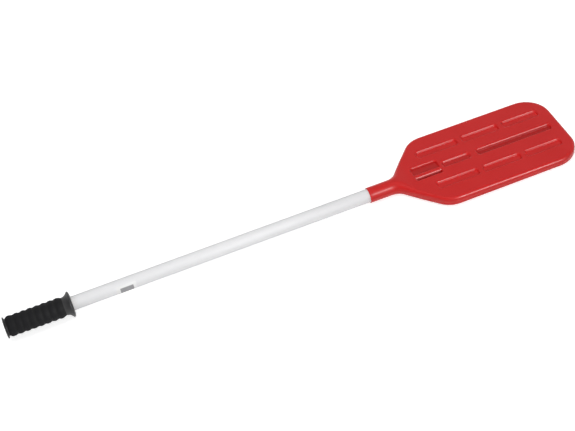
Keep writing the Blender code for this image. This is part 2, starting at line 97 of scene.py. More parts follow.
class Bench:
    """Operators for modelling, each used the way a hand would use it."""

    @staticmethod
    def clear() -> None:
        """Leave edit mode and deselect every object."""
        if bpy.context.object is not None and bpy.context.object.mode != "OBJECT":
            bpy.ops.object.mode_set(mode="OBJECT")
        bpy.ops.object.select_all(action="DESELECT")

    @classmethod
    def pick(cls, obj: Piece) -> None:
        """Make one object the only selected and active one.

        Args:
            obj: The object.
        """
        cls.clear()
        obj.select_set(True)
        bpy.context.view_layer.objects.active = obj

    @classmethod
    @contextmanager
    def editing(cls, obj: Piece, mode: str = "VERT") -> Iterator[None]:
        """Open an object in edit mode with all of it selected, and close it again.

        Args:
            obj: The object to edit.
            mode: Selection mode, VERT, EDGE or FACE.

        Returns:
            A context that holds the object in edit mode.
        """
        cls.pick(obj)
        bpy.ops.object.mode_set(mode="EDIT")
        bpy.ops.mesh.select_mode(type=mode)
        bpy.ops.mesh.select_all(action="SELECT")
        yield
        bpy.ops.object.mode_set(mode="OBJECT")

    @classmethod
    def select_where(cls, obj: Piece, test: Callable[[Vector], bool], kind: str = "verts") -> None:
        """Select the vertices, edges or faces whose middle passes a test.

        Args:
            obj: The object, open in edit mode.
            test: Takes a place and says whether it is wanted.
            kind: verts, edges or faces.
        """
        bpy.ops.mesh.select_all(action="DESELECT")
        bm = bmesh.from_edit_mesh(obj.data)
        for item in getattr(bm, kind):
            if kind == "verts":
                middle = item.co
            else:
                middle = sum((v.co for v in item.verts), Vector()) / len(item.verts)
            if test(middle):
                item.select_set(True)
        bm.select_flush(True)
        bmesh.update_edit_mesh(obj.data)

    @classmethod
    def modify(cls, obj: Piece, kind: str, **settings: object) -> None:
        """Add a modifier with the given settings and apply it.

        Args:
            obj: The object to change.
            kind: Modifier type.
            **settings: Values for the modifier's properties.
        """
        cls.pick(obj)
        modifier = obj.modifiers.new(kind.lower(), kind)
        for key, value in settings.items():
            setattr(modifier, key, value)
        bpy.ops.object.modifier_apply(modifier=modifier.name)

    @classmethod
    def subtract(cls, obj: Piece, cutter: Piece) -> None:
        """Cut one closed shape out of another and drop the cutter."""
        cls.modify(obj, "BOOLEAN", operation="DIFFERENCE", solver="EXACT", object=cutter)
        bpy.data.objects.remove(cutter, do_unlink=True)

    @classmethod
    def join(cls, objects: list[Piece]) -> Piece:
        """Join objects into the first one.

        Args:
            objects: The objects to join.

        Returns:
            The first object, which holds them all.
        """
        cls.pick(objects[0])
        for obj in objects[1:]:
            obj.select_set(True)
        bpy.ops.object.join()
        return objects[0]

    @classmethod
    def close_normals(cls, obj: Piece, merge: float = 0.000002) -> None:
        """Merge doubled vertices and turn every face outwards.

        Args:
            obj: The object.
            merge: Distance below which vertices are one.
        """
        with cls.editing(obj):
            bpy.ops.mesh.remove_doubles(threshold=merge)
            bpy.ops.mesh.dissolve_degenerate(threshold=merge)
            bpy.ops.mesh.select_all(action="SELECT")
            bpy.ops.mesh.normals_make_consistent(inside=False)

    @staticmethod
    def settle(name: str) -> Piece:
        """Name the object that was just added and apply its place.

        Args:
            name: Its name.

        Returns:
            The object, with its origin at the world's.
        """
        obj = bpy.context.object
        obj.name = name
        bpy.ops.object.transform_apply(location=True, rotation=False, scale=False)
        return obj

    @staticmethod
    def extrude(step: Vector | Point) -> None:
        """Extrude what is selected by a step."""
        bpy.ops.mesh.extrude_region_move(TRANSFORM_OT_translate={"value": step})

    @classmethod
    def draw_chain(cls, name: str, points: list[Point], closed: bool) -> Piece:
        """Draw a chain of edges by extruding one vertex from point to point.

        Args:
            name: Name of the new object.
            points: Places of the chain's vertices.
            closed: Whether the last point joins the first.

        Returns:
            The new object, which holds only edges.
        """
        cls.clear()
        ends = (Vector(points[0]), Vector(points[-1]))
        same_place = 1e-7
        bpy.ops.mesh.primitive_plane_add(size=0.001, location=points[0])
        obj = cls.settle(name)
        with cls.editing(obj):
            bpy.ops.mesh.merge(type="CENTER")
            for here, there in zip(points, points[1:]):
                cls.extrude(Vector(there) - Vector(here))
            if closed:
                cls.select_where(obj, lambda co: min((co - end).length for end in ends) < same_place)
                bpy.ops.mesh.edge_face_add()
        return obj

    @classmethod
    def spin(cls, obj: Piece, steps: int, angle: float = WHOLE, centre: Point = (0.0, 0.0, 0.0),
             axis: Point = (1.0, 0.0, 0.0)) -> None:
        """Spin a whole chain through an angle in steps, about an axis through a centre."""
        with cls.editing(obj):
            bpy.ops.mesh.spin(steps=steps, angle=angle, center=centre, axis=axis)

    @classmethod
    def turn(cls, name: str, profile: Profile, closed: bool = True) -> Piece:
        """Turn an (along, radius) profile round the stick's axis.

        Args:
            name: Name of the new object.
            profile: Pairs of distance from the butt and radius.
            closed: Whether the profile is a closed chain.

        Returns:
            The turned object with outward faces.
        """
        chain = [(station(along), 0.0, radius) for along, radius in profile]
        obj = cls.draw_chain(name, chain, closed)
        cls.spin(obj, ROUND_STEPS)
        cls.close_normals(obj)
        return obj

    @classmethod
    def shade(cls, obj: Piece, degrees: float = 50.0) -> None:
        """Shade smooth, with sharp edges past an angle."""
        cls.pick(obj)
        bpy.ops.object.shade_smooth_by_angle(angle=math.radians(degrees), keep_sharp_edges=False)

    @classmethod
    def hold_flat(cls, obj: Piece, directions: list[Vector], degrees: float) -> None:
        """Let the faces that point one of the given ways set the normals of their corners.

        Args:
            obj: The smooth-shaded object.
            directions: Unit normals of the flat faces.
            degrees: How far a face may point off them.
        """
        limit = math.cos(math.radians(degrees))
        with cls.editing(obj, "FACE"):
            bm = bmesh.from_edit_mesh(obj.data)
            for face in bm.faces:
                face.select_set(any(face.normal.dot(direction) > limit for direction in directions))
            bmesh.update_edit_mesh(obj.data)
            bpy.ops.mesh.set_normals_from_faces(keep_sharp=True)

    @staticmethod
    def hand_over(obj: Piece, slot: Slot, material: Material, *nodes: str) -> None:
        """Give a finished piece its finish, its body and the CAD nodes that it stands for.

        Args:
            obj: The finished piece.
            slot: The record's material slot; not used.
            material: The piece's material.
            *nodes: Names of the CAD nodes that it replaces.
        """
        obj.data.materials.clear()
        obj.data.materials.append(material)
        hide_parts(*nodes)
        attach(obj, STICK)
        faces = sum(len(polygon.vertices) - 2 for polygon in obj.data.polygons)
        log.info("%s: %d triangles", obj.name, faces)


class Shader:
    """A node tree under construction."""

    def __init__(self, tree: NodeTree) -> None:
        """Keep the tree that nodes are added to."""
        self.tree = tree

    @cached_property
    def place(self) -> Socket:
        """Object coordinates of the shaded point."""
        return self.node("ShaderNodeTexCoord").outputs["Object"]

    @cached_property
    def axes(self) -> dict[str, Socket]:
        """Coordinates X, Y and Z of the shaded point, each by its name."""
        separate = self.node("ShaderNodeSeparateXYZ", {"Vector": self.place})
        return {name: separate.outputs[name] for name in "XYZ"}

    def node(self, kind: str, inputs: dict[str | int, object] | None = None,
             **settings: object) -> Node:
        """Add a node, set its properties, and set or link its inputs.

        Args:
            kind: Node type.
            inputs: Values, or sockets to link, by input name or number.
            **settings: Values for the node's properties.

        Returns:
            The new node.
        """
        node = self.tree.nodes.new(kind)
        for key, value in settings.items():
            setattr(node, key, value)
        self.feed(node, inputs or {})
        return node

    def feed(self, node: Node, inputs: dict[str | int, object]) -> None:
        """Set a node's inputs to values, or link sockets to them.

        Args:
            node: The node.
            inputs: Values, or sockets to link, by input name or number.
        """
        for key, value in inputs.items():
            if isinstance(value, Socket):
                self.tree.links.new(value, node.inputs[key])
            else:
                node.inputs[key].default_value = value

    def math(self, operation: str, first: object, second: object = 0.0) -> Socket:
        """Add a Math node and return its result."""
        return self.node("ShaderNodeMath", {0: first, 1: second}, operation=operation).outputs[0]

    def multiply(self, *values: object) -> Socket:
        """Multiply two or more values and return the product."""
        return reduce(lambda first, second: self.math("MULTIPLY", first, second), values)

    def absolute(self, value: Socket) -> Socket:
        """Return a value without its sign."""
        return self.math("ABSOLUTE", value)

    def noise(self, vector: Socket, scale: object, detail: float) -> Socket:
        """Add a Noise Texture on the given coordinates and return its factor."""
        inputs = {"Vector": vector, "Scale": scale, "Detail": detail}
        return self.node("ShaderNodeTexNoise", inputs).outputs["Fac"]

    def seen_by(self, *rays: str) -> Socket:
        """Return 1 where one of the named kinds of ray sees the surface, else 0."""
        path = self.node("ShaderNodeLightPath").outputs
        return reduce(lambda first, second: self.math("MAXIMUM", first, second), [path[ray] for ray in rays])

    def span(self, value: Socket, low: float, high: float, start: object = 0.0,
             end: object = 1.0) -> Socket:
        """Map a value smoothly, so that low gives start and high gives end, and return the result."""
        inputs = {"Value": value, "From Min": low, "From Max": high, "To Min": start, "To Max": end}
        return self.node("ShaderNodeMapRange", inputs, interpolation_type="SMOOTHSTEP").outputs["Result"]

    def blend(self, share: object, first: object, second: object) -> Socket:
        """Mix two colours by a share.

        Args:
            share: 0 for the first colour, 1 for the second.
            first: The first colour.
            second: The second colour.

        Returns:
            The mixed colour.
        """
        node = self.node("ShaderNodeMix", data_type="RGBA")
        for name, value in (("Factor", share), ("A", first), ("B", second)):
            socket = next(s for s in node.inputs if s.name == name and s.enabled)
            if isinstance(value, Socket):
                self.tree.links.new(value, socket)
            else:
                socket.default_value = value
        return next(s for s in node.outputs if s.enabled)


class Effects:
    """Node groups that several finishes share."""

    NUMBER = "NodeSocketFloat"
    COLOUR = "NodeSocketColor"
    VECTOR = "NodeSocketVector"

    def __init__(self) -> None:
        """Build the groups once."""
        self.tone = self.build_tone()
        self.grain = self.build_grain()

    @staticmethod
    def start(name: str, inputs: dict[str, str], outputs: dict[str, str]) -> tuple:
        """Make a group with named sockets.

        Args:
            name: Name of the group.
            inputs: Label and socket type of each input.
            outputs: Label and socket type of each output.

        Returns:
            The group, a Shader on it, its incoming sockets and its output node.
        """
        group = bpy.data.node_groups.new(name, "ShaderNodeTree")
        for way, sockets in (("INPUT", inputs), ("OUTPUT", outputs)):
            for label, kind in sockets.items():
                group.interface.new_socket(label, in_out=way, socket_type=kind)
        shader = Shader(group)
        return group, shader, shader.node("NodeGroupInput").outputs, shader.node("NodeGroupOutput")

    def build_tone(self) -> NodeTree:
        """Build the group that varies colour and roughness over a surface in patches and specks.

        Returns:
            The group.
        """
        inputs = {"Vector": self.VECTOR, "Main": self.COLOUR, "Second": self.COLOUR,
                  "Patch Scale": self.NUMBER, "Speck Scale": self.NUMBER,
                  "Smooth": self.NUMBER, "Rough": self.NUMBER}
        outputs = {"Colour": self.COLOUR, "Roughness": self.NUMBER}
        group, shader, source, sink = self.start("surface_tone", inputs, outputs)
        patch_share, speck_share = 0.75, 0.25
        colour_span, rough_span = (0.38, 0.64), (0.36, 0.66)
        patches = shader.noise(source["Vector"], source["Patch Scale"], detail=4.0)
        specks = shader.noise(source["Vector"], source["Speck Scale"], detail=2.0)
        both = shader.math("ADD", shader.multiply(patches, patch_share), shader.multiply(specks, speck_share))
        colour = shader.blend(shader.span(both, *colour_span), source["Main"], source["Second"])
        rough = shader.span(both, *rough_span, source["Smooth"], source["Rough"])
        shader.feed(sink, {"Colour": colour, "Roughness": rough})
        return group

    def build_grain(self) -> NodeTree:
        """Build the group that gives the height of a fine moulded grain over slow waves.

        Returns:
            The group.
        """
        inputs = {"Vector": self.VECTOR, "Grain Scale": self.NUMBER, "Wave Scale": self.NUMBER,
                  "Wave Share": self.NUMBER}
        group, shader, source, sink = self.start("moulded_grain", inputs, {"Height": self.NUMBER})
        grain = shader.noise(source["Vector"], source["Grain Scale"], detail=3.0)
        wave = shader.noise(source["Vector"], source["Wave Scale"], detail=1.0)
        height = shader.math("ADD", grain, shader.multiply(wave, source["Wave Share"]))
        shader.feed(sink, {"Height": height})
        return group


def new_material(name: str) -> tuple[Material, Shader, Node]:
    """Make a material with a node tree.

    Args:
        name: Name of the material.

    Returns:
        The material, a Shader on its tree and its surface node.
    """
    material = bpy.data.materials.new(name)
    material.use_nodes = True
    return material, Shader(material.node_tree), material.node_tree.nodes["Principled BSDF"]


@dataclass(frozen=True)
class Finish:
    """One finish: its colours, gloss and grain.

    Stretch scales the pattern along the stick, so that streaks and brushing run that way.
    """

    slot: Slot
    main: Colour
    second: Colour
    smooth: float
    rough: float
    metallic: float = 0.0
    specular: float = 0.5
    stretch: float = 1.0
    patch_scale: float = 18.0
    speck_scale: float = 600.0
    grain_scale: float = 900.0
    wave_scale: float = 45.0
    wave_share: float = 0.4
    bump_distance: float = 0.00003
    bump_strength: float = 0.5

    def build(self, effects: Effects) -> Material:
        """Make the finish's material.

        Args:
            effects: The shared node groups.

        Returns:
            The material.
        """
        material, shader, surface = new_material(self.slot.value)
        mapped = shader.node("ShaderNodeMapping", {"Vector": shader.place, "Scale": (self.stretch, 1.0, 1.0)})
        vector = mapped.outputs["Vector"]
        tone_inputs = {"Vector": vector, "Main": (*self.main, 1.0), "Second": (*self.second, 1.0),
                       "Patch Scale": self.patch_scale, "Speck Scale": self.speck_scale,
                       "Smooth": self.smooth, "Rough": self.rough}
        grain_inputs = {"Vector": vector, "Grain Scale": self.grain_scale, "Wave Scale": self.wave_scale,
                        "Wave Share": self.wave_share}
        tone = shader.node("ShaderNodeGroup", tone_inputs, node_tree=effects.tone).outputs
        grain = shader.node("ShaderNodeGroup", grain_inputs, node_tree=effects.grain).outputs
        bump = {"Height": self.dress_height(shader, grain["Height"]), "Distance": self.bump_distance,
                "Strength": self.bump_strength}
        shader.feed(surface, {"Metallic": self.metallic, "Specular IOR Level": self.specular,
                              "Base Color": self.dress_colour(shader, tone["Colour"]),
                              "Roughness": self.dress_roughness(shader, tone["Roughness"]),
                              "Normal": shader.node("ShaderNodeBump", bump).outputs["Normal"],
                              **self.dress_coat(shader)})
        material.diffuse_color = (*self.main, 1.0)
        return material

    def dress_colour(self, shader: Shader, colour: Socket) -> Socket:
        """Return the colour as it is; a finish with marks or painted shade of its own adds them here."""
        return colour

    def dress_roughness(self, shader: Shader, rough: Socket) -> Socket:
        """Return the roughness as it is; a finish with duller places sets them here."""
        return rough

    def dress_coat(self, shader: Shader) -> dict[str, object]:
        """Return no coat inputs; a finish with glossier places sets them here."""
        return {}

    def dress_height(self, shader: Shader, height: Socket) -> Socket:
        """Return the height as it is; a finish with relief of its own adds it here."""
        return height


@dataclass(frozen=True)
class BlowMouldedPlastic(Finish):
    """Coloured plastic with a faint mould line, painted shade and duller roughness in its deep recesses."""

    seam_half_width: float = 0.00035
    seam_lift: float = 6.0
    scuff: Colour = (0.62, 0.10, 0.08)
    scuff_half_width: float = 0.0007
    scuff_share: float = 0.35
    # Colour of the painted shade in the deep recesses, blended in up to recess_share together with the duller
    # roughness.
    recess: Colour = (0.36, 0.0095, 0.0090)
    recess_rough: float = 0.42
    recess_share: float = 0.85
    recess_shallow: float = 0.0030
    recess_deep: float = 0.0042
    recess_half_width: float = 0.026
    recess_ends: Pair = (FLAT_START, 1.0540)
    recess_fade: float = 0.002

    def sunken(self, shader: Shader) -> Socket:
        """Find how far a place lies down in the middle row or in the pocket, where the painted shade and the
        duller roughness go.

        Args:
            shader: Shader on the material's tree.

        Returns:
            A share from 0 on the face to the full one in the recess.
        """
        along, across = shader.axes["X"], shader.absolute(shader.axes["Y"])
        fall = (ROOT_HALF_THICKNESS - TIP_HALF_THICKNESS) / (LENGTH - FLAT_START)
        run = shader.math("SUBTRACT", along, station(FLAT_START))
        face = shader.math("SUBTRACT", ROOT_HALF_THICKNESS, shader.multiply(run, fall))
        depth = shader.math("SUBTRACT", face, shader.absolute(shader.axes["Z"]))
        start, end = (station(limit) for limit in self.recess_ends)
        return shader.multiply(
            shader.span(depth, self.recess_shallow, self.recess_deep, 0.0, self.recess_share),
            shader.span(across, self.recess_half_width, self.recess_half_width - self.recess_fade),
            shader.span(along, start, start + self.recess_fade),
            shader.span(along, end, end - self.recess_fade))

    def mould_line(self, shader: Shader, half_width: float, strength: float) -> Socket:
        """Return a strength that fades out on both sides of the mould line."""
        return shader.span(shader.absolute(shader.axes["Z"]), half_width, 0.0, 0.0, strength)

    def dress_colour(self, shader: Shader, colour: Socket) -> Socket:
        """Paint shade into the deep recesses, and lighten the mould line a little where it was trimmed.

        Args:
            shader: Shader on the material's tree.
            colour: Colour of the bare surface.

        Returns:
            The dressed colour.
        """
        # Painted shade: the deep recesses are darkened toward the recess colour.
        painted_shade_colour = shader.blend(self.sunken(shader), colour, (*self.recess, 1.0))
        line = self.mould_line(shader, self.scuff_half_width, self.scuff_share)
        return shader.blend(line, painted_shade_colour, (*self.scuff, 1.0))

    def dress_roughness(self, shader: Shader, rough: Socket) -> Socket:
        """Dull the recesses, which hands and floors don't polish.

        Args:
            shader: Shader on the material's tree.
            rough: Roughness of the bare surface.

        Returns:
            The dressed roughness.
        """
        share = self.sunken(shader)
        kept = shader.multiply(rough, shader.math("SUBTRACT", 1.0, share))
        return shader.math("ADD", kept, shader.multiply(share, self.recess_rough))

    def dress_height(self, shader: Shader, height: Socket) -> Socket:
        """Raise the mould line over the grain."""
        line = self.mould_line(shader, self.seam_half_width, self.seam_lift)
        return shader.math("ADD", height, line)


@dataclass(frozen=True)
class CoatedTube(Finish):
    """White coated tube, with painted contact shade next to the grip and the neck."""

    # Colour of the painted contact shade next to the grip and the neck.
    contact_shade: Colour = (0.60, 0.58, 0.55)
    grip_end: float = 0.122
    grip_fade: float = 0.012
    grip_shade_share: float = 0.45
    neck_start: float = 0.676
    neck_fade: float = 0.005
    neck_shade_share: float = 0.3
    cloud_scale: float = 160.0
    cloud_span: Pair = (0.3, 0.7)

    def dress_colour(self, shader: Shader, colour: Socket) -> Socket:
        """Paint faint contact shade, broken up by clouds, beside the grip and the neck.

        Args:
            shader: Shader on the material's tree.
            colour: Colour of the bare surface.

        Returns:
            The dressed colour.
        """
        along = shader.axes["X"]
        grip, neck = station(self.grip_end), station(self.neck_start)
        # Painted contact shade, strongest at each joint and fading away from it.
        shade_by_grip = shader.span(along, grip, grip + self.grip_fade, self.grip_shade_share, 0.0)
        shade_by_neck = shader.span(along, neck, neck - self.neck_fade, self.neck_shade_share, 0.0)
        cloud = shader.span(shader.noise(shader.place, self.cloud_scale, detail=3.0), *self.cloud_span)
        share = shader.multiply(shader.math("ADD", shade_by_grip, shade_by_neck), cloud)
        return shader.blend(share, colour, (*self.contact_shade, 1.0))


@dataclass(frozen=True)
class GripRubber(Finish):
    """Black rubber, a little paler in the valleys between the ribs and glossier on both flanges."""

    dust: Colour = (0.014, 0.014, 0.014)
    dust_share: float = 0.5
    crest: float = 0.0186
    valley: float = 0.0172
    butt_end: float = 0.0050
    front_start: float = 0.1050
    gloss_fade: float = 0.0012
    gloss_share: float = 0.65
    gloss_rough: float = 0.42

    def dress_coat(self, shader: Shader) -> dict[str, object]:
        """Leave the two flanges glossier than the ribs.

        Args:
            shader: Shader on the material's tree.

        Returns:
            The coat's inputs of the surface.
        """
        along = shader.axes["X"]
        butt, front = station(self.butt_end), station(self.front_start)
        flange = shader.math("MAXIMUM", shader.span(along, butt, butt - self.gloss_fade),
                             shader.span(along, front, front + self.gloss_fade))
        weight = shader.multiply(flange, self.gloss_share)
        return {"Coat Weight": weight, "Coat Roughness": self.gloss_rough}

    def dress_colour(self, shader: Shader, colour: Socket) -> Socket:
        """Put fine dust where the radius is small.

        Args:
            shader: Shader on the material's tree.
            colour: Colour of the bare surface.

        Returns:
            The dressed colour.
        """
        squares = [shader.multiply(shader.axes[name], shader.axes[name]) for name in ("Y", "Z")]
        radius = shader.math("SQRT", shader.math("ADD", *squares))
        share = shader.span(radius, self.crest, self.valley, 0.0, self.dust_share)
        return shader.blend(share, colour, (*self.dust, 1.0))


@dataclass(frozen=True)
class StickerPaper(Finish):
    """Blank sticker with one plain grey field."""

    ink: Colour = (0.22, 0.22, 0.23)
    ink_share: float = 0.85
    field_span: Pair = (0.206, 0.230)
    field_low: float = -0.0062
    field_high: float = 0.0052
    blur: float = 0.0004

    def dress_colour(self, shader: Shader, colour: Socket) -> Socket:
        """Print the grey field with soft edges.

        Args:
            shader: Shader on the material's tree.
            colour: Colour of the bare surface.

        Returns:
            The dressed colour.
        """
        start, end = (station(limit) for limit in self.field_span)
        sides = (("X", start, self.blur), ("X", end, -self.blur),
                 ("Z", self.field_low, self.blur), ("Z", self.field_high, -self.blur))
        insides = [shader.span(shader.axes[name], edge - blur, edge + blur)
                   for name, edge, blur in sides]
        share = shader.multiply(*insides, self.ink_share)
        return shader.blend(share, colour, (*self.ink, 1.0))


@dataclass(frozen=True)
class OutlinePoint:
    """One point of the blade's outline with its outward direction in plan."""

    along: float
    across: float
    lean: float

    @property
    def normal(self) -> Vector:
        """Outward direction in plan; a lean of 0 points along +Y."""
        return Vector((-math.sin(self.lean), math.cos(self.lean)))


@dataclass(frozen=True)
class Recess:
    """One recess pressed into a face: where it lies, how its wall leans and how its edges are rounded.

    The lip ends proud of the face by a hair. Over it the space goes on up to top and widens by spread.
    """

    span: Pair
    across: float
    half_width: float
    depth: float
    draft: float
    lip: float = 0.0032
    floor: float = 0.0005
    corner: float = 0.0044
    proud: float = 0.00003
    top: float = 0.003
    spread: float = 0.0002

    @property
    def middle(self) -> float:
        """Middle of the recess, from the butt."""
        return (self.span[0] + self.span[1]) / 2.0

    @property
    def half_length(self) -> float:
        """Half length where the wall would meet the face."""
        return (self.span[1] - self.span[0]) / 2.0

    def profile(self) -> Profile:
        """List the wall as (height, growth) from the floor to over the lip.

        Returns:
            Heights over the face with the growth of the outline there.
        """
        wall = math.atan2(self.depth, self.draft)
        reach = math.tan(wall / 2.0)
        steps = 5
        profile = []
        for index in range(steps):
            angle = wall * index / (steps - 1)
            growth = -self.draft - self.floor * reach + self.floor * math.sin(angle)
            profile.append((-self.depth + self.floor * (1.0 - math.cos(angle)), growth))
        for index in range(steps + 1):
            angle = wall * (1.0 - index / steps)
            profile.append((self.proud - self.lip * (1.0 - math.cos(angle)),
                            self.lip * (reach - math.sin(angle))))
        profile.append((self.top, profile[-1][1] + self.spread))
        return profile


@dataclass
class BladeShell:
    """Hollow blade with its round neck, and with grooves and a ridged pocket on both faces."""

    mouth: float = 0.6790
    neck_radius: float = 0.01435
    round_end: float = 0.7275
    half_width: float = 0.0905
    rim_radius: float = 0.0058
    shoulder_angle: float = math.radians(48.0)
    shoulder_along: float = 0.7311
    shoulder_inner_radius: float = 0.024
    shoulder_outer_radius: float = 0.046
    tip_corner_radius: float = 0.049
    wall: float = 0.0019
    cavity_start: float = 0.7420
    socket_radius: float = 0.0130
    socket_end: float = 0.7264
    post_margin: float = 0.0004
    passage_radius: float = 0.0065
    mouth_round: float = 0.0005
    outer_row: float = 0.0450
    outer_spans: tuple = ((0.7955, 0.8779), (0.8873, 0.9620), (0.9707, 1.0433))
    outer_half_width: float = 0.0088
    outer_depth: float = 0.0040
    outer_draft: float = 0.0018
    middle_spans: tuple = ((0.8266, 0.8831), (0.8963, 1.0472))
    middle_depths: tuple = (0.0037, 0.0056)
    middle_across: float = 0.0008
    middle_half_width: float = 0.0076
    middle_draft: float = 0.0019
    middle_lip: float = 0.0042
    pocket: Recess = Recess((0.7690, 0.8215), 0.0006, 0.0178, 0.0068, 0.0024)
    valley_across: float = 0.0020
    valley_depth: float = 0.0044
    ridge_across: float = -0.0040
    ridge_depth: float = 0.0004
    ridge_radius: float = 0.0056
    ridge_foot: float = -0.0088
    flat_degrees: float = 0.3
    rim_steps: int = 10
    arc_steps: int = 20

    def half_thickness(self, along: float) -> float:
        """Half thickness of the flat blade, which thins evenly toward the tip."""
        share = (along - FLAT_START) / (LENGTH - FLAT_START)
        return ROOT_HALF_THICKNESS + share * (TIP_HALF_THICKNESS - ROOT_HALF_THICKNESS)

    def taper(self) -> float:
        """Angle by which each face falls toward the tip."""
        return math.atan2(ROOT_HALF_THICKNESS - TIP_HALF_THICKNESS, LENGTH - FLAT_START)

    def from_neck(self, along: float, blade: float) -> float:
        """Go smoothly from the neck's radius to a size of the flat blade."""
        share = smooth_share(along, self.round_end, FLAT_START)
        return self.neck_radius * (1.0 - share) + blade * share

    def height(self, along: float) -> float:
        """Height of the upper surface on the centre line."""
        return self.from_neck(along, self.half_thickness(along))

    def edge_radius(self, along: float) -> float:
        """Radius of the rounded edge: the whole neck where it is round, a small rim on the blade."""
        return self.from_neck(along, self.rim_radius)

    def arc(self, centre: Pair, radius: float, start: float, end: float,
            hollow: bool = False) -> list[OutlinePoint]:
        """Sample one arc of the outline.

        Args:
            centre: Centre as distance along and across.
            radius: Radius of the arc.
            start: Lean at the first point.
            end: Lean at the last point.
            hollow: Whether the arc curves inwards, so that its centre is outside.

        Returns:
            The points, both ends included.
        """
        way = -1.0 if hollow else 1.0
        points = []
        for index in range(self.arc_steps + 1):
            lean = start + (end - start) * index / self.arc_steps
            along = centre[0] - way * radius * math.sin(lean)
            points.append(OutlinePoint(along, centre[1] + way * radius * math.cos(lean), lean))
        return points

    def outline(self) -> list[OutlinePoint]:
        """List the +Y half of the outline from the neck's mouth to the middle of the tip.

        Returns:
            The outline's points in order.
        """
        slope = self.shoulder_angle
        half_turn = math.tan(slope / 2.0)
        inner = (self.shoulder_along - self.shoulder_inner_radius * half_turn,
                 self.neck_radius + self.shoulder_inner_radius)
        crown_along = (self.shoulder_along + (self.half_width - self.neck_radius) / math.tan(slope)
                       + self.shoulder_outer_radius * half_turn)
        outer = (crown_along, self.half_width - self.shoulder_outer_radius)
        tip = (LENGTH - self.tip_corner_radius, self.half_width - self.tip_corner_radius)
        neck_run, neck_steps = inner[0] - self.mouth, 6
        points = [OutlinePoint(self.mouth + neck_run * index / neck_steps, self.neck_radius, 0.0)
                  for index in range(neck_steps)]
        points += self.arc(inner, self.shoulder_inner_radius, 0.0, slope, hollow=True)
        crown = self.arc(outer, self.shoulder_outer_radius, slope, 0.0)
        first, last = points[-1], crown[0]
        slope_steps = 16
        for index in range(1, slope_steps):
            share = index / slope_steps
            points.append(OutlinePoint(first.along + (last.along - first.along) * share,
                                       first.across + (last.across - first.across) * share, slope))
        points += crown
        points += self.arc(tip, self.tip_corner_radius, 0.0, -QUARTER)
        points.append(OutlinePoint(LENGTH, 0.0, -QUARTER))
        return points

    def column(self, point: OutlinePoint, inset: float) -> list[Point]:
        """Give the quarter section that belongs to one point of the outline.

        Args:
            point: The outline's point.
            inset: Depth of the surface below the outer one.

        Returns:
            Places from the middle of the rim, over its round, to the centre line.
        """
        radius = self.edge_radius(point.along)
        column = []
        for step in range(-1, self.rim_steps + 1):
            angle = QUARTER * max(step, 0) / self.rim_steps
            inward = radius * (1.0 - math.cos(angle)) + inset * math.cos(angle)
            along = point.along - point.normal.x * inward
            across = max(point.across - point.normal.y * inward, 0.0)
            rise = self.height(along) - radius + (radius - inset) * math.sin(angle)
            column.append((station(along), across, 0.0 if step < 0 else max(rise, 0.0)))
        column.append((column[-1][0], 0.0, column[-1][2]))
        return column

    def make_body(self, name: str, inset: float = 0.0, start: float = 0.0) -> Piece:
        """Shape a grid into a quarter of the blade, mirror it and close its neck end.

        Args:
            name: Name of the new object.
            inset: Depth below the outer surface, for the hollow.
            start: Leaves out what lies nearer the butt.

        Returns:
            The closed body.
        """
        columns = [self.column(point, inset) for point in self.outline() if point.along >= start]
        rows = len(columns[0])
        Bench.clear()
        bpy.ops.mesh.primitive_grid_add(x_subdivisions=len(columns) - 1, y_subdivisions=rows - 1, size=1.0)
        obj = bpy.context.object
        obj.name = name
        for index, vertex in enumerate(obj.data.vertices):
            vertex.co = columns[index % len(columns)][index // len(columns)]
        merge = 0.000004
        Bench.modify(obj, "MIRROR", use_axis=(False, True, True), use_clip=True, merge_threshold=merge)
        Bench.close_normals(obj, merge)
        with Bench.editing(obj, "EDGE"):
            bpy.ops.mesh.select_all(action="DESELECT")
            bpy.ops.mesh.select_non_manifold(use_wire=False, use_multi_face=False, use_non_contiguous=False,
                                             use_verts=False)
            bpy.ops.mesh.edge_face_add()
        Bench.close_normals(obj)
        return obj

    def make_recess(self, recess: Recess) -> Piece:
        """Model the space of one pressed recess by raising and widening a rounded plate.

        Args:
            recess: The recess.

        Returns:
            The closed shape, lying in the upper face.
        """
        half_length, half_width = recess.half_length, recess.half_width
        profile = recess.profile()
        level, growth = profile[0]
        Bench.clear()
        bpy.ops.mesh.primitive_plane_add(size=2.0, location=(0.0, 0.0, level))
        obj = Bench.settle("recess")
        with Bench.editing(obj):
            value = (half_length + growth, half_width + growth, 1.0)
            bpy.ops.transform.resize(value=value, center_override=(0.0, 0.0, level))
            bpy.ops.mesh.bevel(offset=recess.corner, segments=6, affect="VERTICES", profile=0.5)
            bpy.ops.mesh.select_all(action="SELECT")
            for next_level, next_growth in profile[1:]:
                Bench.extrude((0.0, 0.0, next_level - level))
                value = ((half_length + next_growth) / (half_length + growth),
                         (half_width + next_growth) / (half_width + growth), 1.0)
                bpy.ops.transform.resize(value=value, center_override=(0.0, 0.0, next_level))
                level, growth = next_level, next_growth
        place = (station(recess.middle), recess.across, self.half_thickness(recess.middle))
        obj.matrix_world = Matrix.Translation(place) @ Matrix.Rotation(self.taper(), 4, "Y")
        Bench.pick(obj)
        bpy.ops.object.transform_apply(location=True, rotation=True, scale=True)
        Bench.close_normals(obj)
        return obj

    def grooves(self) -> list[Recess]:
        """List the grooves of one face.

        Returns:
            The middle row, then the two outer rows.
        """
        middle = [Recess(span, self.middle_across, self.middle_half_width, depth, self.middle_draft,
                         self.middle_lip) for span, depth in zip(self.middle_spans, self.middle_depths)]
        outer = [Recess(span, across, self.outer_half_width, self.outer_depth, self.outer_draft)
                 for across in (self.outer_row, -self.outer_row) for span in self.outer_spans]
        return middle + outer

